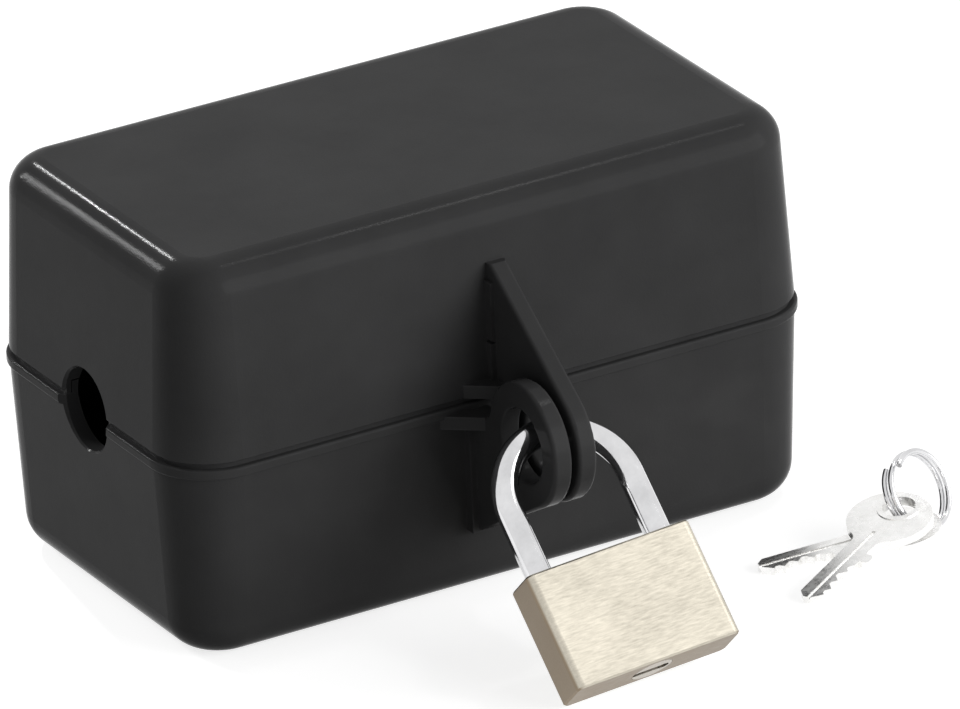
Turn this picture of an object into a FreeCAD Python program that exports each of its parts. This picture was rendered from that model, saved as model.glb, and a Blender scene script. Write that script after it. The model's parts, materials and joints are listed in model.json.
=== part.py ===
import FreeCAD
import Part
import math
import os

# Plug lock box: a two-part moulded box with a cable hole at each end, held shut by a padlock
# through two hasp rings, with two keys on a split ring lying beside it.
# Millimetres. +X runs along the box, -Y is the hasp side, +Z is up, and the origin is the
# centre of the underside.

V = FreeCAD.Vector
X, Y, Z = V(1, 0, 0), V(0, 1, 0), V(0, 0, 1)
OVER = 1.0  # how far a cutting tool or a root runs past the face it works on
NEAR = 0.01  # two lengths closer than this are the same one

# Box shells
box_length = 118.0
box_width = 66.5
base_height = 34.6  # the seam between the shells is at this height
lid_height = 33.9
wall = 2.8
corner_radius = 10.7
lid_draft = 1.8  # how far each lid wall leans in from seam to top
base_draft = 1.6  # how far each base wall leans in from seam to underside
lid_top_radius = 5.8
base_bottom_radius = 6.1

# Seam: a bead round the base, a shadow groove round the lid, a tongue inside both
bead_height = 1.7
bead_proud = 0.45
bead_round = 0.4
groove_height = 0.9
groove_depth = 0.7
groove_round = 0.3
lip_thickness = 0.75
tongue_height = 2.2
tongue_gap = 0.25

# Cable holes, one in each end, half in each shell
cable_hole_radius = 7.0
cable_hole_round = 0.6

# Hasp plates, seen edge-on from the front
hasp_plate = 3.4
hasp_gap = 1.1
hasp_middle = -2.6  # X of the middle of the gap between the plates
hasp_reach = 16.05  # from the wall at the seam to the middle of the ring holes
hasp_drop = 1.6  # the ring holes' middle is this far below the seam
hasp_hole_radius = 6.3
hasp_ring_radius = 10.5
hasp_root = 23.0  # how far each plate's root runs from the seam
hasp_clear = 1.0  # each plate's square edge stays this far on its own side of the seam
hasp_round = 0.7
hasp_hole_round = 0.45
hasp_corner_round = 2.0
gusset_reach = 4.5
gusset_run = 5.7
gusset_height = 2.3
root_rib = 1.05  # the narrow ribs where the plates meet the wall
root_rib_gap = 0.4
lid_ribs = [(6.3, 0.9), (10.2, 0.6)]  # length and thickness, from the seam up

# Hinge at the back: two stations, each with two base knuckles, one lid knuckle and a pin
hinge_station = 22.0  # X of each station's middle
hinge_length = 24.0
knuckle_radius = 3.4
knuckle_wall_gap = 0.4
knuckle_side_gap = 0.3
knuckle_foot = 9.0  # how far a knuckle's foot runs up or down its wall
hinge_pin_radius = 1.5
hinge_pin_bevel = 0.3
pin_fit = 0.02
running_fit = 0.08

# Padlock body, drawn upright in its own frame: the shackle's crown is at the origin, the body
# hangs below it, X is across the legs and -Y is the front
body_width = 30.0
body_height = 20.2
body_thickness = 9.0
body_round = 1.3
body_bevel = 0.3
crown_to_body = 22.2
wire_radius = 2.25
bow_radius = 11.0
leg_fit = 0.08

# How the padlock hangs: its crown lies in the ring holes and its lowest corner is on the floor
crown_shift_y = -1.7
crown_shift_z = 2.3
crown_shift_x = -1.0
padlock_roll = -2.7  # turn in its own plane, degrees
padlock_yaw = -3.5

# Padlock shackle legs: the heel stays in the body, the toe comes out
toe_depth = 8.8
toe_round = 0.6
heel_depth = 16.0
heel_head = 1.6
heel_neck_radius = 1.6
shackle_travel = 9.6
keeper_radius = 0.75
keeper_end_gap = 0.1
keeper_front_wall = 2.0
heel_bore_spare = 2.4  # room under the heel for its spring
shackle_spring_wall = 0.55
shackle_spring_fit = 0.2

# Plug, its keyway and its keeper pin
plug_radius = 3.5
plug_length = 12.8
plug_fit = 0.05
plug_neck_radius = 2.8
plug_neck_height = 1.6
plug_neck_from_top = 0.5
keyway_width = 1.6
keyway_end = 1.3  # X where the slot ends and the pin row begins
keyway_eye = 1.0  # radius of the round end of the keyway
keyway_eye_x = 2.0
tail_radius = 0.7
tail_throw = 1.5  # the tail's distance from the plug's axis
tail_angle = 135.0
plug_turn = 90.0  # degrees from released to locked
tail_height = 2.8

# Pin chambers, drilled in from the side of the body
pin_count = 4
pin_pitch = 2.4
pin_first = 2.2  # the first chamber's height above the body's underside
pin_radius = 0.85
chamber_fit = 0.05
driver_length = 3.0
shear_gap = 0.06
pin_spring_length = 4.2
pin_spring_wall = 0.25
stop_gap = 0.05

# Locking bolt between the legs
bolt_radius = 2.3
bolt_below_top = 4.3  # the bolt's axis below the body's top face
bolt_back = 4.6
bolt_nose_gap = 0.5  # from the drawn-back nose to the toe leg
bolt_fit = 0.06
bolt_nose_bevel = 1.2
bolt_notch_gap = 0.25
bolt_notch_depth = 1.9
tail_slot_gap = 0.2
bolt_spring_radius = 1.1
bolt_spring_bore = 0.7
bolt_spring_length = 4.5
bolt_pocket_depth = 2.3
side_plug_length = 1.3

# Keys and split ring
key_head_radius = 7.1
key_hole_radius = 2.75
key_hole_offset = 2.9  # from the head's middle, away from the blade
key_tip_reach = 24.4  # from the head's middle to the blade's tip
key_thickness = 1.4
key_blade_width = 4.4
key_nose = 1.2
key_nose_back = 1.9
key_cut_depths = (0.7, 1.3, 1.0, 0.7)
key_cut_flat = 0.3  # half the width of a cut's floor
key_stub_from_tip = 11.8
key_stub_width = 2.2
key_stub_reach = 1.6
key_stub_round = 0.8
key_rim = 0.9
key_rim_height = 0.15
key_groove_width = 0.6
key_groove_depth = 0.3
key_groove_from = 7.3  # from the hole to where the groove starts
key_neck_round = 2.0
split_ring_radius = 6.4
split_ring_wire = 0.5
split_ring_pitch = 1.43
split_ring_x = 65.6  # where the split ring stands
split_ring_y = -51.6
split_ring_azimuth = 26.0
split_ring_lean = 30.0
split_ring_spin = 120.0  # where on the ring its wire ends are
key_hole_shift = -0.1  # from the middle of the ring's wire, along the ring's axis
key_a_hole_height = 5.8
key_b_hole_height = 2.8
key_a_azimuth = -155.0
key_b_azimuth = 172.0

# Derived places
half_width = box_width / 2
seam = base_height
ring_y = -half_width - hasp_reach
ring_z = seam - hasp_drop
base_plate_x = hasp_middle - hasp_gap / 2 - hasp_plate
lid_plate_x = hasp_middle + hasp_gap / 2
hinge_y = half_width + bead_proud + knuckle_wall_gap + knuckle_radius
body_top = -crown_to_body
body_bottom = body_top - body_height
plug_bottom = body_bottom
plug_top = plug_bottom + plug_length
bolt_z = body_top - bolt_below_top
leg_inner = bow_radius - wire_radius
bolt_nose = leg_inner - bolt_nose_gap
bolt_travel = tail_throw * (
    math.cos(math.radians(tail_angle - plug_turn)) - math.cos(math.radians(tail_angle))
)
tail_x = tail_throw * math.cos(math.radians(tail_angle))
tail_y = tail_throw * math.sin(math.radians(tail_angle))
heel_end = body_top - heel_depth
heel_bore_end = heel_end - heel_bore_spare
chamber_radius = pin_radius + chamber_fit
chamber_heights = [body_bottom + pin_first + i * pin_pitch for i in range(pin_count)]


def box(x0, x1, y0, y1, z0, z1):
    return Part.makeBox(x1 - x0, y1 - y0, z1 - z0, V(x0, y0, z0))


def rod(radius, start, end):
    return Part.makeCylinder(radius, (end - start).Length, start, end - start)


def rounded_rectangle(length, width, radius, z):
    """Closed outline centred on the Z axis."""
    hx, hy = length / 2, width / 2
    reach = radius * (1 - math.sqrt(0.5))
    edges = []
    corners = [(1, 1), (-1, 1), (-1, -1), (1, -1)]
    for i, (sx, sy) in enumerate(corners):
        along_x = V(sx * (hx - radius), sy * hy, z)
        along_y = V(sx * hx, sy * (hy - radius), z)
        middle = V(sx * (hx - reach), sy * (hy - reach), z)
        first, last = (along_y, along_x) if i % 2 == 0 else (along_x, along_y)
        if edges:
            edges.append(Part.LineSegment(edges[-1].Vertexes[-1].Point, first).toShape())
        edges.append(Part.Arc(first, middle, last).toShape())
    edges.append(Part.LineSegment(edges[-1].Vertexes[-1].Point, edges[0].Vertexes[0].Point).toShape())
    return Part.Wire(edges)


def edges_at_height(shape, z):
    return [e for e in shape.Edges if max(abs(e.BoundBox.ZMin - z), abs(e.BoundBox.ZMax - z)) < NEAR]


def prism(corners, depth):
    """A straight block on a flat outline, given as its corners."""
    return Part.Face(Part.makePolygon(corners + corners[:1])).extrude(depth)


def inset_of(edge):
    """How far an edge's middle lies inside the seam outline; negative is outside it."""
    mid = edge.valueAt((edge.FirstParameter + edge.LastParameter) / 2)
    over_x = abs(mid.x) - (box_length / 2 - corner_radius)
    over_y = abs(mid.y) - (box_width / 2 - corner_radius)
    if over_x > 0 and over_y > 0:
        return corner_radius - math.hypot(over_x, over_y)
    return corner_radius - max(over_x, over_y)


def drafted_block(inset, z_seam, z_end, draft, end_radius):
    """A rounded block from the seam outline, set in by inset, to a drafted, rounded end."""
    outlines = []
    for z, lean in ((z_seam, 0), (z_end, draft)):
        shrink = inset + lean
        outlines.append(
            rounded_rectangle(box_length - 2 * shrink, box_width - 2 * shrink, corner_radius - shrink, z)
        )
    block = Part.makeLoft(outlines, True, True)
    return block.makeFillet(end_radius, edges_at_height(block, z_end))


def band(outer_inset, inner_inset, z0, z1):
    """A rectangular hoop between two insets from the seam outline."""
    blocks = []
    for inset in (outer_inset, inner_inset):
        outline = rounded_rectangle(
            box_length - 2 * inset, box_width - 2 * inset, corner_radius - inset, z0
        )
        blocks.append(Part.Face(outline).extrude(V(0, 0, z1 - z0)))
    return blocks[0].cut(blocks[1])


def cable_holes():
    """The round holes in both ends, with a softened outer edge."""
    tools = []
    for side in (-1, 1):
        outside = V(side * (box_length / 2 + OVER), 0, seam)
        inside = V(side * (box_length / 2 - wall - 2 * OVER), 0, seam)
        tools.append(rod(cable_hole_radius, outside, inside))
        rim = cable_hole_round + OVER
        tools.append(Part.makeCone(cable_hole_radius + rim, cable_hole_radius, rim, outside, V(-side, 0, 0)))
    return tools[0].fuse(tools[1:])


def tangent_point(point, centre, radius, side):
    """Where a line from point, in the YZ plane, touches a circle; side picks which of the two."""
    dy, dz = point.y - centre.y, point.z - centre.z
    distance = math.hypot(dy, dz)
    angle = math.atan2(dz, dy) + side * math.acos(radius / distance)
    return V(centre.x, centre.y + radius * math.cos(angle), centre.z + radius * math.sin(angle))


def hasp(x0, direction):
    """One hasp plate: a ring joined to its wall by a sloped web. direction is 1 on the lid."""
    centre = V(x0, ring_y, ring_z)
    root_y = -half_width
    tip = V(x0, root_y, seam + direction * hasp_root)
    touch = tangent_point(tip, centre, hasp_ring_radius, direction)
    square = seam + direction * hasp_clear
    corners = [
        V(x0, root_y + wall, square),
        V(x0, ring_y, square),
        touch,
        tip,
        V(x0, root_y + wall, tip.z),
    ]
    web = prism(corners, V(hasp_plate, 0, 0))
    ring = Part.makeCylinder(hasp_ring_radius, hasp_plate, centre, X)
    plate = web.fuse(ring).removeSplitter()
    inner_corner = [
        e
        for e in plate.Edges
        if e.BoundBox.XLength > OVER and abs(e.BoundBox.ZMin - square) < NEAR and e.BoundBox.YMax < root_y
    ]
    plate = plate.makeFillet(hasp_corner_round, inner_corner)
    root_edge = root_y + wall - NEAR
    rims = [e for e in plate.Edges if e.BoundBox.XLength < NEAR and e.BoundBox.YMin < root_y - NEAR]
    rims = [e for e in rims if e.BoundBox.YMax < root_edge or abs(e.BoundBox.ZMin - square) < NEAR]
    plate = plate.makeFillet(hasp_round, rims)
    hole = Part.makeCylinder(hasp_hole_radius, hasp_plate, centre, X)
    plate = plate.cut(hole)
    lips = [
        e
        for e in plate.Edges
        if isinstance(e.Curve, Part.Circle)
        and abs(e.Curve.Radius - hasp_hole_radius) < NEAR
        and e.BoundBox.XLength < NEAR
    ]
    return plate.makeFillet(hasp_hole_round, lips)


def gusset(x_face, z0):
    """A flat triangular stay between the wall and a plate's left face."""
    root_y = -half_width
    corners = [
        V(x_face - gusset_run, root_y, z0),
        V(x_face, root_y - gusset_reach, z0),
        V(x_face + OVER, root_y - gusset_reach, z0),
        V(x_face + OVER, root_y + wall, z0),
        V(x_face - gusset_run, root_y + wall, z0),
    ]
    return prism(corners, V(0, 0, gusset_height))


def root_ribs(x_face, direction, lengths):
    """Narrow ribs that thicken the foot of a plate, one after another along the wall."""
    ribs = []
    away = gusset_height + hasp_clear
    for length, thickness in lengths:
        low, high = sorted((seam + direction * away, seam + direction * (away + length)))
        rib = box(x_face - thickness, x_face + OVER, -half_width - root_rib, -half_width + wall, low, high)
        ribs.append(rib)
        away += length + root_rib_gap
    return ribs


def knuckle(x0, x1, direction):
    """A hinge barrel with a foot that runs up the lid wall or down the base wall."""
    barrel = Part.makeCylinder(knuckle_radius, x1 - x0, V(x0, hinge_y, seam), X)
    inside = half_width - wall / 2
    foot = V(x0, inside, seam + direction * knuckle_foot)
    start = V(x0, half_width, seam + direction * knuckle_foot)
    centre = V(x0, hinge_y, seam)
    touch = tangent_point(start, centre, knuckle_radius, -direction)
    corners = [V(x0, inside, seam), foot, start, touch, centre]
    return barrel.fuse(prism(corners, V(x1 - x0, 0, 0)))


def hinge_spans(station):
    """The X spans of a station's base knuckles and of its lid knuckle."""
    third = hinge_length / 3
    low = station - hinge_length / 2
    base_spans = [(low, low + third - knuckle_side_gap / 2)]
    base_spans.append((low + 2 * third + knuckle_side_gap / 2, low + hinge_length))
    return base_spans, (low + third + knuckle_side_gap / 2, low + 2 * third - knuckle_side_gap / 2)


def hinge_bore(station, gap):
    start = V(station - hinge_length / 2 - OVER, hinge_y, seam)
    return rod(hinge_pin_radius + gap, start, start + X * (hinge_length + 2 * OVER))


def base_shell():
    outer = drafted_block(0, seam, 0, base_draft, base_bottom_radius)
    bead = band(-bead_proud, wall / 2, seam - bead_height, seam)
    rim = [e for e in bead.Edges if e.BoundBox.ZLength < NEAR and inset_of(e) < 0]
    bead = bead.makeFillet(bead_round, rim)
    tongue = band(groove_depth + lip_thickness + tongue_gap, wall, seam - OVER, seam + tongue_height)
    plate = hasp(base_plate_x, -1)
    extras = [plate, gusset(base_plate_x, seam - hasp_clear - gusset_height)]
    base_rib_length = hasp_root - hasp_clear - gusset_height - root_rib_gap
    extras += root_ribs(base_plate_x, -1, [(base_rib_length, root_rib)])
    for station in (-hinge_station, hinge_station):
        for x0, x1 in hinge_spans(station)[0]:
            extras.append(knuckle(x0, x1, -1))
    solid = outer.fuse([bead, tongue] + extras)
    solid = solid.cut(drafted_block(wall, seam, wall, base_draft, base_bottom_radius - wall))
    mouth = band(wall, wall + 5 * OVER, seam - OVER, seam + tongue_height + OVER)
    solid = solid.cut(mouth).cut(cable_holes())
    for station in (-hinge_station, hinge_station):
        solid = solid.cut(hinge_bore(station, pin_fit))
    return solid


def lid_shell():
    top = seam + lid_height
    outer = drafted_block(0, seam, top, lid_draft, lid_top_radius)
    outer = outer.cut(band(-OVER, groove_depth, seam - OVER, seam + groove_height))
    rim = [e for e in edges_at_height(outer, seam + groove_height) if inset_of(e) < groove_round]
    outer = outer.makeFillet(groove_round, rim)
    plate = hasp(lid_plate_x, 1)
    extras = [plate, gusset(lid_plate_x, seam + hasp_clear)]
    extras += root_ribs(lid_plate_x, 1, lid_ribs)
    for station in (-hinge_station, hinge_station):
        x0, x1 = hinge_spans(station)[1]
        extras.append(knuckle(x0, x1, 1))
    solid = outer.fuse(extras)
    solid = solid.cut(drafted_block(wall, seam, top - wall, lid_draft, lid_top_radius - wall))
    rebate = band(groove_depth + lip_thickness, wall + OVER, seam - OVER, seam + tongue_height + tongue_gap)
    solid = solid.cut(rebate).cut(cable_holes())
    for station in (-hinge_station, hinge_station):
        solid = solid.cut(hinge_bore(station, running_fit))
    return solid


def hinge_pin(station):
    start = V(station - hinge_length / 2, hinge_y, seam)
    pin = Part.makeCylinder(hinge_pin_radius, hinge_length, start, X)
    return pin.makeChamfer(hinge_pin_bevel, [e for e in pin.Edges if e.BoundBox.XLength < NEAR])


def padlock_placement():
    """Where the padlock's own frame lies: the crown in the ring holes, the lowest corner on Z = 0."""
    crown = V(hasp_middle + crown_shift_x, ring_y + crown_shift_y, ring_z + crown_shift_z)
    turn = FreeCAD.Rotation(Y, padlock_roll).multiply(FreeCAD.Rotation(Z, padlock_yaw))
    leans = []
    for side in (-1, 1):
        corner = turn.multVec(V(side * body_width / 2, body_thickness / 2, body_bottom))
        reach = math.hypot(corner.y, corner.z)
        offset = math.atan2(corner.y, -corner.z)
        leans.append(offset + math.acos(crown.z / reach))
    lean = FreeCAD.Rotation(X, -math.degrees(max(leans)))
    return FreeCAD.Placement(crown, lean.multiply(turn))


def bow_solid():
    """The half-round crown that joins the legs."""
    section = Part.Face(Part.Wire([Part.makeCircle(wire_radius, V(bow_radius, 0, -bow_radius), Z)]))
    return section.revolve(V(0, 0, -bow_radius), Y, -180)


def shackle():
    toe_end = body_top - toe_depth
    toe = rod(wire_radius, V(bow_radius, 0, toe_end), V(bow_radius, 0, -bow_radius))
    toe = toe.makeChamfer(toe_round, edges_at_height(toe, toe_end))
    head = rod(wire_radius, V(-bow_radius, 0, heel_end), V(-bow_radius, 0, heel_end + heel_head))
    neck_top = heel_end + heel_head + shackle_travel + 2 * keeper_radius + 2 * keeper_end_gap
    neck = rod(heel_neck_radius, V(-bow_radius, 0, heel_end + heel_head), V(-bow_radius, 0, neck_top))
    heel = rod(wire_radius, V(-bow_radius, 0, neck_top), V(-bow_radius, 0, -bow_radius))
    notch = box(
        0,
        leg_inner + bolt_notch_depth,
        -body_thickness,
        body_thickness,
        bolt_z - bolt_radius - bolt_notch_gap,
        bolt_z + bolt_radius + bolt_notch_gap,
    )
    return bow_solid().fuse([toe.cut(notch), head, neck, heel]).removeSplitter()


def keeper_x(axis_x, neck_radius):
    """A keeper pin lies across a neck on its inner side, clear of the neck itself."""
    return axis_x + neck_radius + keeper_radius + keeper_end_gap


shackle_keeper_x = keeper_x(-bow_radius, heel_neck_radius)
shackle_keeper_z = heel_end + heel_head + shackle_travel + keeper_radius + keeper_end_gap
plug_keeper_x = -plug_neck_radius - keeper_radius - keeper_end_gap
plug_neck_low = plug_top - plug_neck_from_top - plug_neck_height
plug_keeper_z = plug_neck_low + plug_neck_height / 2
keeper_front = -body_thickness / 2 + keeper_front_wall


def keeper(x, z, gap=0.0):
    """A pin pushed in from the back of the body."""
    return rod(keeper_radius + gap, V(x, keeper_front - gap, z), V(x, body_thickness / 2 + 2 * gap, z))


def padlock_body():
    half_x, half_y = body_width / 2, body_thickness / 2
    solid = box(-half_x, half_x, -half_y, half_y, body_bottom, body_top)
    solid = solid.makeFillet(body_round, [e for e in solid.Edges if e.BoundBox.ZLength > OVER])
    rims = edges_at_height(solid, body_bottom) + edges_at_height(solid, body_top)
    solid = solid.makeChamfer(body_bevel, rims)
    leg = wire_radius + leg_fit
    bolt_bore_start = -bolt_back - bolt_spring_length + bolt_pocket_depth
    cuts = [
        rod(leg, V(-bow_radius, 0, heel_bore_end), V(-bow_radius, 0, body_top + OVER)),
        rod(leg, V(bow_radius, 0, body_top - toe_depth - leg_fit), V(bow_radius, 0, body_top + OVER)),
        rod(plug_radius + plug_fit, V(0, 0, body_bottom - OVER), V(0, 0, plug_top + stop_gap)),
        rod(tail_throw + tail_radius + stop_gap, V(0, 0, plug_top), V(0, 0, bolt_z)),
        rod(bolt_radius + bolt_fit, V(bolt_bore_start, 0, bolt_z), V(half_x + OVER, 0, bolt_z)),
        keeper(shackle_keeper_x, shackle_keeper_z, pin_fit),
        keeper(plug_keeper_x, plug_keeper_z, pin_fit),
    ]
    for z in chamber_heights:
        cuts.append(rod(chamber_radius, V(0, 0, z), V(half_x + OVER, 0, z)))
    return solid.cut(cuts[0].fuse(cuts[1:]))


def cylinder_plug():
    solid = rod(plug_radius, V(0, 0, plug_bottom), V(0, 0, plug_top))
    tail_start = V(tail_x, tail_y, plug_top - OVER)
    tail = rod(tail_radius, tail_start, V(tail_x, tail_y, plug_top + tail_height))
    groove = rod(plug_radius + OVER, V(0, 0, plug_neck_low), V(0, 0, plug_neck_low + plug_neck_height))
    groove = groove.cut(rod(plug_neck_radius, V(0, 0, plug_neck_low - OVER), V(0, 0, plug_top + OVER)))
    keyway_top = plug_neck_low - stop_gap - OVER / 2
    half_slot = keyway_width / 2
    slot = box(-plug_radius - OVER, keyway_eye_x, -half_slot, half_slot, plug_bottom - OVER, keyway_top)
    eye = rod(keyway_eye, V(keyway_eye_x, 0, plug_bottom - OVER), V(keyway_eye_x, 0, keyway_top))
    solid = solid.cut(groove).cut(slot).cut(eye)
    for z in chamber_heights:
        solid = solid.cut(rod(chamber_radius, V(keyway_end, 0, z), V(plug_radius + OVER, 0, z)))
    return solid.fuse(tail).removeSplitter()


def chamber_row(radius, x0, x1, bore=0.0):
    """The same small rod, or tube, in every pin chamber."""
    pieces = []
    for z in chamber_heights:
        piece = rod(radius, V(x0, 0, z), V(x1, 0, z))
        if bore:
            piece = piece.cut(rod(bore, V(x0 - OVER, 0, z), V(x1 + OVER, 0, z)))
        pieces.append(piece)
    return Part.makeCompound(pieces)


def locking_bolt():
    solid = rod(bolt_radius, V(-bolt_back, 0, bolt_z), V(bolt_nose, 0, bolt_z))
    slot_half = tail_radius + tail_slot_gap
    slot_low, slot_high = bolt_z - 2 * bolt_radius, bolt_z + stop_gap
    slot = box(tail_x - slot_half, tail_x + slot_half, -body_thickness, body_thickness, slot_low, slot_high)
    pocket_end = V(-bolt_back + bolt_pocket_depth, 0, bolt_z)
    pocket = rod(bolt_spring_radius + stop_gap, V(-bolt_back - OVER, 0, bolt_z), pocket_end)
    nose_top = bolt_z + bolt_radius
    bevel_corners = [
        V(bolt_nose + OVER, -body_thickness, nose_top + OVER),
        V(bolt_nose - bolt_nose_bevel - OVER, -body_thickness, nose_top + OVER),
        V(bolt_nose + OVER, -body_thickness, nose_top - bolt_nose_bevel - OVER),
    ]
    bevel = prism(bevel_corners, V(0, 2 * body_thickness, 0))
    return solid.cut(slot).cut(pocket).cut(bevel)


def bolt_spring():
    end = V(-bolt_back + bolt_pocket_depth, 0, bolt_z)
    start = end - X * bolt_spring_length
    return rod(bolt_spring_radius, start, end).cut(rod(bolt_spring_bore, start - X, end + X))


def bolt_bore_plug():
    end = body_width / 2 - body_bevel
    return rod(bolt_radius + pin_fit, V(end - side_plug_length, 0, bolt_z), V(end, 0, bolt_z))


def shackle_spring():
    low, high = heel_bore_end + stop_gap, heel_end - stop_gap
    start, end = V(-bow_radius, 0, low), V(-bow_radius, 0, high)
    outer = wire_radius - shackle_spring_fit
    return rod(outer, start, end).cut(rod(outer - shackle_spring_wall, start - Z, end + Z))


def split_ring_frame():
    """The ring stands on its edge, leaning back; its frame's X is level and Z is its axis."""
    level = V(math.cos(math.radians(split_ring_azimuth)), math.sin(math.radians(split_ring_azimuth)), 0)
    away = Z.cross(level)
    lean = math.radians(split_ring_lean)
    up = Z * math.cos(lean) + away * math.sin(lean)
    axis = level.cross(up)
    outer = split_ring_radius + split_ring_wire
    half_stack = split_ring_pitch / 2 + split_ring_wire
    height = outer * math.cos(lean) + half_stack * math.sin(lean)
    centre = V(split_ring_x, split_ring_y, height)
    return centre, level, up, axis


def split_ring():
    """Two turns of wire: half-turn arcs whose diameters climb, so that every joint is smooth."""
    edges = []
    here = V(split_ring_radius, 0, -split_ring_pitch)
    for half_turn in range(4):
        sign = -1 if half_turn % 2 == 0 else 1
        there = V(sign * split_ring_radius, 0, here.z + split_ring_pitch / 2)
        bulge = V(0, -sign * (there - here).Length / 2, 0)
        edges.append(Part.Arc(here, (here + there) / 2 + bulge, there).toShape())
        here = there
    path = Part.Wire(edges)
    profile = Part.Wire([Part.makeCircle(split_ring_wire, V(split_ring_radius, 0, -split_ring_pitch), Y)])
    ring = path.makePipeShell([profile], True, False)
    centre, level, up, axis = split_ring_frame()
    spin = FreeCAD.Rotation(Z, split_ring_spin)
    turn = FreeCAD.Rotation(level, up, axis, "XYZ")
    ring.Placement = FreeCAD.Placement(centre, turn.multiply(spin))
    return ring


def key_hole_place(height):
    """Where a key's hole is: at a height on the split ring, on the side where the keys lie."""
    centre, level, up, axis = split_ring_frame()
    drop = math.asin((centre.z - height) / (split_ring_radius * up.z))
    outward = level * -math.cos(drop) - up * math.sin(drop)
    return centre + outward * split_ring_radius + axis * key_hole_shift


def key_blank():
    """A key lying flat with its hole at the origin and its blade along +X, cuts on the +Y side."""
    half = key_thickness / 2
    head_x = key_hole_offset
    tip_x = head_x + key_tip_reach
    side = key_blade_width / 2
    head = Part.makeCylinder(key_head_radius, key_thickness, V(head_x, 0, -half))
    blade_corners = [
        V(head_x, -side, -half),
        V(tip_x - key_nose, -side, -half),
        V(tip_x, -side + key_nose, -half),
        V(tip_x, side - key_nose_back, -half),
        V(tip_x - key_nose_back, side, -half),
        V(head_x, side, -half),
    ]
    blade = prism(blade_corners, V(0, 0, key_thickness))
    stub_x = tip_x - key_stub_from_tip
    stub = box(stub_x - key_stub_width, stub_x, 0, side + key_stub_reach, -half, half)
    stub_ends = [e for e in stub.Edges if e.BoundBox.ZLength > NEAR and e.BoundBox.YMin > side]
    stub = stub.makeFillet(key_stub_round, [e for e in stub_ends if e.BoundBox.YLength < NEAR])
    solid = head.fuse([blade, stub]).removeSplitter()
    neck_lines = [
        e
        for e in solid.Edges
        if e.BoundBox.ZLength > key_thickness / 2
        and e.BoundBox.XLength < NEAR
        and abs(abs(e.BoundBox.YMax) - side) < NEAR
        and e.BoundBox.XMax < head_x + key_head_radius
    ]
    solid = solid.makeFillet(key_neck_round, neck_lines)
    rim_half = half + key_rim_height
    solid = solid.fuse(rod(key_hole_radius + key_rim, Z * -rim_half, Z * rim_half))
    cuts = [rod(key_hole_radius, Z * (-rim_half - OVER), Z * (rim_half + OVER))]
    for i, depth in enumerate(key_cut_depths):
        x = stub_x + pin_first + i * pin_pitch
        outer = key_cut_flat + depth + OVER
        corners = [
            V(x - outer, side + OVER, -half - OVER),
            V(x - key_cut_flat, side - depth, -half - OVER),
            V(x + key_cut_flat, side - depth, -half - OVER),
            V(x + outer, side + OVER, -half - OVER),
        ]
        cuts.append(prism(corners, V(0, 0, key_thickness + 2 * OVER)))
    groove_side = key_groove_width / 2
    for low in (-half - OVER, half - key_groove_depth):
        high = low + OVER + key_groove_depth
        cuts.append(box(key_groove_from, tip_x + OVER, -groove_side, groove_side, low, high))
    return solid.cut(cuts[0].fuse(cuts[1:]))


def key_placement(hole_height, azimuth):
    """The hole hangs on the ring and the blade slopes down until its tip rests on the floor."""
    hole = key_hole_place(hole_height)
    tip_x = key_hole_offset + key_tip_reach
    half = key_thickness / 2
    reach = math.hypot(tip_x, half)
    slope = math.degrees(math.asin(hole.z / reach) - math.atan2(half, tip_x))
    turn = FreeCAD.Rotation(Z, azimuth).multiply(FreeCAD.Rotation(Y, slope))
    return FreeCAD.Placement(hole, turn)


def placed(shape, placement):
    moved = shape.copy()
    moved.transformShape(placement.toMatrix(), True)
    return moved


def build():
    hang = padlock_placement()
    side = body_width / 2
    drivers_start = plug_radius + plug_fit + shear_gap
    drivers_end = drivers_start + driver_length
    springs_end = drivers_end + pin_spring_length
    spring_radius = pin_radius - stop_gap
    nodes = {
        "base_shell": base_shell(),
        "lid_shell": lid_shell(),
        "hinge_pin_left": hinge_pin(-hinge_station),
        "hinge_pin_right": hinge_pin(hinge_station),
    }
    lock = {
        "shackle": shackle(),
        "padlock_body": padlock_body(),
        "cylinder_plug": cylinder_plug(),
        "key_pins": chamber_row(pin_radius, keyway_end + stop_gap, plug_radius - shear_gap),
        "driver_pins": chamber_row(pin_radius, drivers_start, drivers_end),
        "pin_springs": chamber_row(
            spring_radius, drivers_end + stop_gap, springs_end, spring_radius - pin_spring_wall
        ),
        "chamber_plugs": chamber_row(chamber_radius, springs_end + stop_gap, side - body_bevel),
        "locking_bolt": locking_bolt(),
        "bolt_spring": bolt_spring(),
        "bolt_bore_plug": bolt_bore_plug(),
        "shackle_spring": shackle_spring(),
        "shackle_keeper_pin": keeper(shackle_keeper_x, shackle_keeper_z),
        "plug_keeper_pin": keeper(plug_keeper_x, plug_keeper_z),
    }
    for name, shape in lock.items():
        nodes[name] = placed(shape, hang)
    nodes["split_ring"] = split_ring()
    blank = key_blank()
    nodes["key_a"] = placed(blank, key_placement(key_a_hole_height, key_a_azimuth))
    nodes["key_b"] = placed(blank, key_placement(key_b_hole_height, key_b_azimuth))
    return nodes


os.makedirs("parts", exist_ok=True)
for name, shape in build().items():
    shape.exportStep(os.path.join("parts", name + ".step"))
    print(name, len(shape.Solids), "solids, volume", round(shape.Volume, 1), "valid", shape.isValid())
print("split ring: least gap between its turns", round(split_ring_pitch - 2 * split_ring_wire, 2))
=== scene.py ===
import json
import math
import bmesh
import bpy
from mathutils import Matrix, Vector


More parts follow.
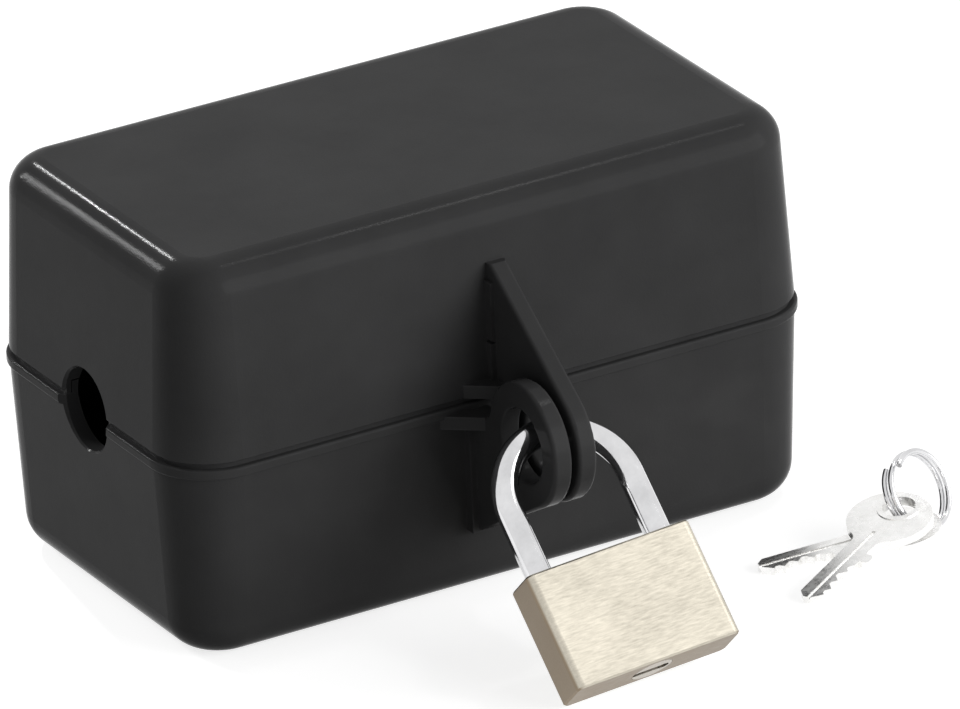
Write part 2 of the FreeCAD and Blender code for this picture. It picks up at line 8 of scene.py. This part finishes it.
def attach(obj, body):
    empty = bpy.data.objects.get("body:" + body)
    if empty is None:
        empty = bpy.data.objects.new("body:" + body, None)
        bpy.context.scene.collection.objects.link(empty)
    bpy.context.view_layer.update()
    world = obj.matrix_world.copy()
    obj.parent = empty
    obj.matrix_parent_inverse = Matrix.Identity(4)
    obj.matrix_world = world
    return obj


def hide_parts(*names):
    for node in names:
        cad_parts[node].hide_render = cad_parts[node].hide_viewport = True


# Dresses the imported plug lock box. Metres; +X along the box, -Y the hasp side, +Z up.

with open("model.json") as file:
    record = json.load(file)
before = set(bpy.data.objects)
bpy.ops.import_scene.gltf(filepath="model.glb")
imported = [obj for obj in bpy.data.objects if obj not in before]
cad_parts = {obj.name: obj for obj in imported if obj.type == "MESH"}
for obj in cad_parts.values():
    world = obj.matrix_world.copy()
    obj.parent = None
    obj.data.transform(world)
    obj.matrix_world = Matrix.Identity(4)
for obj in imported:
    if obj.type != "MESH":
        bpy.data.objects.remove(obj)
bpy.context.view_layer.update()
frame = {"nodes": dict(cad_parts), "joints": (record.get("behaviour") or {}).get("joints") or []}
nodes = frame["nodes"]
joints = {j["name"]: j for j in frame["joints"]}
mm = 0.001
seamHeight = joints["lid_hinge"]["pos_m"][2]
print("frame loaded:", len(nodes), "nodes")


# Camera: a long lens, so the view is almost parallel, at the photograph's angle
cameraView = {
    "azimuth": -29.24,
    "elevation": 24.49,
    "roll": -2.43,
    "aimRight": 12.60 * mm,  # the aim, from the seam's middle, in the view's own directions
    "aimUp": -5.21 * mm,
    "distance": 2.408,
    "sensor": 36.0,
    "lens": 556.8,
}


def placeCamera():
    azimuth = math.radians(cameraView["azimuth"])
    elevation = math.radians(cameraView["elevation"])
    roll = math.radians(cameraView["roll"])
    back = Vector(
        (
            math.sin(azimuth) * math.cos(elevation),
            -math.cos(azimuth) * math.cos(elevation),
            math.sin(elevation),
        )
    )
    levelRight = Vector((math.cos(azimuth), math.sin(azimuth), 0))
    levelUp = back.cross(levelRight)
    right = levelRight * math.cos(roll) + levelUp * math.sin(roll)
    up = levelUp * math.cos(roll) - levelRight * math.sin(roll)
    data = bpy.data.cameras.new("camera")
    data.sensor_width = cameraView["sensor"]
    data.lens = cameraView["lens"]
    data.clip_start = 0.1
    data.clip_end = 20
    camera = bpy.data.objects.new("camera", data)
    bpy.context.scene.collection.objects.link(camera)
    spot = right * cameraView["aimRight"] + up * cameraView["aimUp"] + back * cameraView["distance"]
    spot.z += seamHeight
    turn = Matrix((right, up, back)).transposed().to_4x4()
    camera.matrix_world = Matrix.Translation(spot) @ turn
    bpy.context.scene.camera = camera


placeCamera()


# Small helpers for node materials
def newMaterial(name):
    material = bpy.data.materials.new(name)
    material.use_nodes = True
    tree = material.node_tree
    shader = tree.nodes["Principled BSDF"]
    coordinates = tree.nodes.new("ShaderNodeTexCoord")
    return material, tree, shader, coordinates


def addNode(tree, kind, **settings):
    node = tree.nodes.new(kind)
    for key, value in settings.items():
        if key in node.inputs:
            node.inputs[key].default_value = value
        else:
            setattr(node, key, value)
    return node


def scaledCoordinates(tree, coordinates, scale, turn=(0, 0, 0)):
    mapping = addNode(tree, "ShaderNodeMapping")
    mapping.inputs["Scale"].default_value = scale
    mapping.inputs["Rotation"].default_value = turn
    tree.links.new(coordinates.outputs["Object"], mapping.inputs["Vector"])
    return mapping.outputs["Vector"]


def noise(tree, vector, scale, detail=3.0, roughness=0.55):
    node = addNode(tree, "ShaderNodeTexNoise")
    node.inputs["Scale"].default_value = scale
    node.inputs["Detail"].default_value = detail
    node.inputs["Roughness"].default_value = roughness
    tree.links.new(vector, node.inputs["Vector"])
    return node.outputs["Fac"]


def spread(tree, value, low, high, fromLow=0.3, fromHigh=0.7):
    node = addNode(tree, "ShaderNodeMapRange")
    node.inputs["From Min"].default_value = fromLow
    node.inputs["From Max"].default_value = fromHigh
    node.inputs["To Min"].default_value = low
    node.inputs["To Max"].default_value = high
    tree.links.new(value, node.inputs["Value"])
    return node.outputs["Result"]


def blendColours(tree, factor, first, second):
    node = addNode(tree, "ShaderNodeMix", data_type="RGBA")
    for socket, colour in ((node.inputs[6], first), (node.inputs[7], second)):
        socket.default_value = (*colour, 1)
    tree.links.new(factor, node.inputs[0])
    return node.outputs[2]


def bump(tree, shader, height, strength, distance):
    node = addNode(tree, "ShaderNodeBump")
    node.inputs["Strength"].default_value = strength
    node.inputs["Distance"].default_value = distance
    tree.links.new(height, node.inputs["Height"])
    tree.links.new(node.outputs["Normal"], shader.inputs["Normal"])
    return node


def mathNode(tree, operation, first, second):
    node = addNode(tree, "ShaderNodeMath", operation=operation)
    for socket, value in ((node.inputs[0], first), (node.inputs[1], second)):
        if isinstance(value, (int, float)):
            socket.default_value = value
        else:
            tree.links.new(value, socket)
    return node.outputs["Value"]


shellFinish = {
    "dark": (0.0395, 0.0395, 0.0400),
    "light": (0.0475, 0.0475, 0.0480),
    "roughLow": 0.12,
    "roughHigh": 0.20,
    "specular": 0.02,
    "grain": 2600,  # moulding grain, per metre
    "grainDepth": 0.000035,
    "scuff": 60,
    "edgeWear": (0.060, 0.060, 0.062),
    "edgeRadius": 0.0006,
}


def makeShellPlastic():
    material, tree, shader, coordinates = newMaterial("shellPlastic")
    even = scaledCoordinates(tree, coordinates, (1, 1, 1))
    cloud = noise(tree, even, shellFinish["scuff"], 4, 0.6)
    colour = blendColours(tree, spread(tree, cloud, 0, 1), shellFinish["dark"], shellFinish["light"])
    bevel = addNode(tree, "ShaderNodeBevel", samples=4)
    bevel.inputs["Radius"].default_value = shellFinish["edgeRadius"]
    geometry = addNode(tree, "ShaderNodeNewGeometry")
    turnAway = addNode(tree, "ShaderNodeVectorMath", operation="DOT_PRODUCT")
    tree.links.new(bevel.outputs["Normal"], turnAway.inputs[0])
    tree.links.new(geometry.outputs["Normal"], turnAway.inputs[1])
    wear = spread(tree, turnAway.outputs["Value"], 1, 0, 0.80, 0.995)
    wornPatch = mathNode(tree, "MULTIPLY", wear, spread(tree, noise(tree, even, 240, 3), 0, 1, 0.35, 0.65))
    worn = addNode(tree, "ShaderNodeMix", data_type="RGBA")
    tree.links.new(wornPatch, worn.inputs[0])
    tree.links.new(colour, worn.inputs[6])
    worn.inputs[7].default_value = (*shellFinish["edgeWear"], 1)
    tree.links.new(worn.outputs[2], shader.inputs["Base Color"])
    streak = scaledCoordinates(tree, coordinates, (0.35, 0.35, 1.6))
    rough = spread(
        tree, noise(tree, streak, 150, 4), shellFinish["roughLow"], shellFinish["roughHigh"]
    )
    tree.links.new(rough, shader.inputs["Roughness"])
    shader.inputs["Specular IOR Level"].default_value = shellFinish["specular"]
    grain = noise(tree, even, shellFinish["grain"], 2, 0.5)
    bump(tree, shader, grain, 0.5, shellFinish["grainDepth"])
    return material


brushedFinish = {
    "body": ((0.440, 0.408, 0.340), (0.620, 0.578, 0.490)),
    "plug": ((0.40, 0.37, 0.32), (0.50, 0.46, 0.40)),
    "sideToneAndShade": (0.26, 0.208, 0.148),  # the sawn sides and ends are browner than the faces, and are also painted darker as shade: partly their own tone, partly painted shade
    "sideShadeFrom": 0.72,
    "lineScale": 3600,
    "stretch": 7,
    "cloudScale": 110,
}


def makeBrushedMetal(name, tones, along, roughness, stretch=None, faceAxis=None):
    """along is the direction of the brush lines in the row frame."""
    material, tree, shader, coordinates = newMaterial(name)
    longWay = Vector(along).normalized()
    turn = longWay.rotation_difference(Vector((1, 0, 0))).to_euler()
    stretch = stretch or brushedFinish["stretch"]
    turned = scaledCoordinates(tree, coordinates, (1, 1, 1), turn)
    squeeze = addNode(tree, "ShaderNodeMapping")
    squeeze.inputs["Scale"].default_value = (1 / stretch, 1, 1)
    tree.links.new(turned, squeeze.inputs["Vector"])
    lines = noise(tree, squeeze.outputs["Vector"], brushedFinish["lineScale"], 3, 0.6)
    cloud = noise(tree, turned, brushedFinish["cloudScale"], 4, 0.6)
    mixed = mathNode(tree, "ADD", mathNode(tree, "MULTIPLY", lines, 0.65), mathNode(tree, "MULTIPLY", cloud, 0.35))
    colour = blendColours(tree, spread(tree, mixed, 0, 1), *tones)
    # Painted shade: faces not turned to the face axis (sides, ends, top and bottom) get a darker, browner tone.
    # This is partly the metal's own browner tone and partly painted shade.
    if faceAxis is not None:
        geometry = addNode(tree, "ShaderNodeNewGeometry")
        facing = addNode(tree, "ShaderNodeVectorMath", operation="DOT_PRODUCT")
        tree.links.new(geometry.outputs["Normal"], facing.inputs[0])
        facing.inputs[1].default_value = faceAxis
        flat = mathNode(tree, "ABSOLUTE", facing.outputs["Value"], 0)
        side = spread(tree, flat, 1, 0, 0.45, brushedFinish["sideShadeFrom"])
        sideShaded = addNode(tree, "ShaderNodeMix", data_type="RGBA")
        tree.links.new(side, sideShaded.inputs[0])
        tree.links.new(colour, sideShaded.inputs[6])
        sideShaded.inputs[7].default_value = (*brushedFinish["sideToneAndShade"], 1)
        colour = sideShaded.outputs[2]
    tree.links.new(colour, shader.inputs["Base Color"])
    shader.inputs["Metallic"].default_value = 1.0
    tree.links.new(spread(tree, mixed, roughness[0], roughness[1]), shader.inputs["Roughness"])
    bump(tree, shader, lines, 0.35, 0.00002)
    return material


chromeFinish = {"low": (0.62, 0.62, 0.63), "high": (0.76, 0.76, 0.77), "roughLow": 0.04, "roughHigh": 0.12}


def makeChrome(name):
    material, tree, shader, coordinates = newMaterial(name)
    even = scaledCoordinates(tree, coordinates, (1, 1, 1))
    cloud = noise(tree, even, 220, 4, 0.6)
    colour = blendColours(tree, spread(tree, cloud, 0, 1), chromeFinish["low"], chromeFinish["high"])
    tree.links.new(colour, shader.inputs["Base Color"])
    shader.inputs["Metallic"].default_value = 1.0
    tree.links.new(
        spread(tree, noise(tree, even, 700, 5), chromeFinish["roughLow"], chromeFinish["roughHigh"]),
        shader.inputs["Roughness"],
    )
    bump(tree, shader, noise(tree, even, 1500, 3), 0.12, 0.00002)
    return material


def makePlainMetal(name, low, high, roughness, metallic=1.0):
    material, tree, shader, coordinates = newMaterial(name)
    even = scaledCoordinates(tree, coordinates, (1, 1, 1))
    colour = blendColours(tree, spread(tree, noise(tree, even, 500, 4), 0, 1), low, high)
    tree.links.new(colour, shader.inputs["Base Color"])
    shader.inputs["Metallic"].default_value = metallic
    tree.links.new(spread(tree, noise(tree, even, 1100, 3), *roughness), shader.inputs["Roughness"])
    bump(tree, shader, noise(tree, even, 2200, 2), 0.2, 0.00002)
    return material


slideAxis = Vector(joints["shackle_slide"]["axis"])
boltAxis = Vector(joints["bolt_slide"]["axis"])
finishes = {
    "shell": makeShellPlastic(),
    "lockBody": makeBrushedMetal(
        "lockBodyNickel", brushedFinish["body"], boltAxis, (0.30, 0.46), faceAxis=boltAxis.cross(slideAxis)
    ),
    "lockPlug": makeBrushedMetal("plugNickel", brushedFinish["plug"], boltAxis, (0.22, 0.36), 6),
    "chrome": makeChrome("shackleChrome"),
    "ringSteel": makeChrome("ringSteel"),
    "keyNickel": makePlainMetal("keyNickel", (0.87, 0.865, 0.85), (0.96, 0.955, 0.945), (0.22, 0.36)),
    "pinSteel": makePlainMetal("pinSteel", (0.42, 0.42, 0.43), (0.55, 0.55, 0.56), (0.22, 0.36)),
    "springSteel": makePlainMetal("springSteel", (0.36, 0.36, 0.38), (0.48, 0.48, 0.50), (0.25, 0.38)),
    "pinBrass": makePlainMetal("pinBrass", (0.66, 0.47, 0.20), (0.76, 0.57, 0.28), (0.22, 0.36)),
}
print("materials made:", len(finishes))


nodeFinish = {
    "base_shell": "shell",
    "lid_shell": "shell",
    "hinge_pin_left": "pinSteel",
    "hinge_pin_right": "pinSteel",
    "shackle": "chrome",
    "padlock_body": "lockBody",
    "cylinder_plug": "lockPlug",
    "key_pins": "pinBrass",
    "driver_pins": "pinSteel",
    "pin_springs": "springSteel",
    "chamber_plugs": "lockBody",
    "locking_bolt": "pinSteel",
    "bolt_spring": "springSteel",
    "bolt_bore_plug": "lockBody",
    "shackle_spring": "springSteel",
    "shackle_keeper_pin": "pinSteel",
    "plug_keeper_pin": "pinSteel",
    "split_ring": "ringSteel",
    "key_a": "keyNickel",
    "key_b": "keyNickel",
}


def dressNodes():
    for name, finish in nodeFinish.items():
        mesh = nodes[name].data
        mesh.materials.clear()
        mesh.materials.append(finishes[finish])


dressNodes()
print("CAD nodes dressed:", len(nodeFinish))


# Coil springs inside the padlock, in the room of the plain tubes
coilSprings = {
    "pinCoils": {"node": "pin_springs", "axis": boltAxis, "count": 4, "wire": 0.13 * mm, "turns": 11},
    "boltCoil": {"node": "bolt_spring", "axis": boltAxis, "count": 1, "wire": 0.19 * mm, "turns": 8},
    "shackleCoil": {"node": "shackle_spring", "axis": -slideAxis, "count": 1, "wire": 0.26 * mm, "turns": 3},
}
coilSteps = 20  # divisions in each turn
coilSides = 8


def spanAlong(name, axis):
    values = [axis.dot(corner.co) for corner in nodes[name].data.vertices]
    return min(values), max(values)


def addCoil(shape, start, axis, length, radius, wire, turns):
    side = axis.orthogonal().normalized()
    tangent = side.cross(axis).normalized()
    begin = start + axis * wire
    place = Matrix((side, axis, tangent)).transposed().to_4x4()
    place.translation = begin + side * (radius - wire)
    ring = bmesh.ops.create_circle(shape, cap_ends=False, segments=coilSides, radius=wire, matrix=place)
    corners = ring["verts"]
    edges = list({edge for corner in corners for edge in corner.link_edges})
    steps = turns * coilSteps
    bmesh.ops.spin(
        shape,
        geom=corners + edges,
        cent=begin,
        axis=axis,
        dvec=axis * ((length - 2 * wire) / steps),
        angle=math.tau * turns,
        steps=steps,
        use_merge=False,
    )


def makeCoils(name, coil):
    axis = coil["axis"]
    low, high = spanAlong(coil["node"], axis)
    across = slideAxis if coil["count"] > 1 else axis.orthogonal().normalized()
    third = axis.cross(across).normalized()
    thirdLow, thirdHigh = spanAlong(coil["node"], third)
    radius = (thirdHigh - thirdLow) / 2
    acrossLow, acrossHigh = spanAlong(coil["node"], across)
    pitch = (acrossHigh - acrossLow - 2 * radius) / max(coil["count"] - 1, 1)
    shape = bmesh.new()
    for number in range(coil["count"]):
        start = axis * low + third * (thirdLow + radius) + across * (acrossLow + radius + number * pitch)
        addCoil(shape, start, axis, high - low, radius, coil["wire"], coil["turns"])
    openEdges = [edge for edge in shape.edges if len(edge.link_faces) == 1]
    bmesh.ops.holes_fill(shape, edges=openEdges, sides=0)
    bmesh.ops.recalc_face_normals(shape, faces=shape.faces)
    mesh = bpy.data.meshes.new(name)
    shape.to_mesh(mesh)
    shape.free()
    for face in mesh.polygons:
        face.use_smooth = True
    mesh.materials.append(finishes["springSteel"])
    piece = bpy.data.objects.new(name, mesh)
    bpy.context.scene.collection.objects.link(piece)
    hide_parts(coil["node"])
    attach(piece, "padlock")


for coilName, coil in coilSprings.items():
    makeCoils(coilName, coil)
print("coil springs made:", len(coilSprings))


# Studio: a pale floor that fades into a white background, and soft light
studio = {
    "floorColour": (0.55, 0.55, 0.55),
    "floorSize": 6.0,
    "cameraLift": 0.78,  # what the floor shows above its own lit colour
    "glossyShare": 1.0,  # how much of the white backdrop a polished face shows
    "worldColour": (1.0, 1.0, 1.0),
    "worldStrength": 0.26,
    "seenStrength": 1.0,
}


# How much of the white backdrop each kind of ray meets
def seenShare(tree):
    rays = addNode(tree, "ShaderNodeLightPath")
    polished = mathNode(tree, "MULTIPLY", rays.outputs["Is Glossy Ray"], studio["glossyShare"])
    seen = mathNode(tree, "MAXIMUM", rays.outputs["Is Camera Ray"], polished)
    return mathNode(tree, "MAXIMUM", seen, rays.outputs["Is Transmission Ray"])


def makeFloor():
    shape = bmesh.new()
    bmesh.ops.create_grid(shape, x_segments=1, y_segments=1, size=studio["floorSize"] / 2)
    mesh = bpy.data.meshes.new("floor")
    shape.to_mesh(mesh)
    shape.free()
    floor = bpy.data.objects.new("floor", mesh)
    bpy.context.scene.collection.objects.link(floor)
    material, tree, shader, coordinates = newMaterial("floorPaper")
    tree.nodes.remove(shader)
    even = scaledCoordinates(tree, coordinates, (1, 1, 1))
    paper = addNode(tree, "ShaderNodeBsdfDiffuse")
    tone = studio["floorColour"]
    fleck = tuple(c * 0.985 for c in tone)
    tree.links.new(
        blendColours(tree, spread(tree, noise(tree, even, 90, 3), 0, 1), tone, fleck), paper.inputs["Color"]
    )
    glow = addNode(tree, "ShaderNodeEmission")
    tree.links.new(mathNode(tree, "MULTIPLY", seenShare(tree), studio["cameraLift"]), glow.inputs["Strength"])
    both = addNode(tree, "ShaderNodeAddShader")
    tree.links.new(paper.outputs["BSDF"], both.inputs[0])
    tree.links.new(glow.outputs["Emission"], both.inputs[1])
    tree.links.new(both.outputs["Shader"], tree.nodes["Material Output"].inputs["Surface"])
    mesh.materials.append(material)


def makeWorld():
    world = bpy.data.worlds.new("studioWorld")
    world.use_nodes = True
    bpy.context.scene.world = world
    tree = world.node_tree
    background = tree.nodes["Background"]
    background.inputs["Color"].default_value = (*studio["worldColour"], 1)
    gain = studio["seenStrength"] - studio["worldStrength"]
    tree.links.new(
        mathNode(tree, "ADD", mathNode(tree, "MULTIPLY", seenShare(tree), gain), studio["worldStrength"]),
        background.inputs["Strength"],
    )


softBoxes = {
    "overhead": {"from": (0.49, 0.02, 1.04), "size": (0.10, 0.10), "power": 0.8},
    "backLeft": {"from": (-0.44, 0.83, 0.48), "size": (0.08, 0.30), "power": 4.0},
    "backEdge": {"from": (0.03, 0.83, 0.66), "size": (0.03, 0.03), "power": 2.5},
    "frontRight": {"from": (0.80, -1.05, 0.35), "size": (1.2, 1.2), "power": 20.0},
}


def makeLights():
    aim = Vector((0, 0, seamHeight))
    for name, box in softBoxes.items():
        data = bpy.data.lights.new(name, "AREA")
        data.shape = "RECTANGLE"
        data.size, data.size_y = box["size"]
        data.energy = box["power"]
        lamp = bpy.data.objects.new(name, data)
        bpy.context.scene.collection.objects.link(lamp)
        spot = Vector(box["from"])
        lamp.location = spot
        lamp.rotation_mode = "QUATERNION"
        lamp.rotation_quaternion = (aim - spot).to_track_quat("-Z", "Y")


makeFloor()
makeWorld()
makeLights()
bpy.context.scene.view_settings.view_transform = "Standard"
print("studio made")
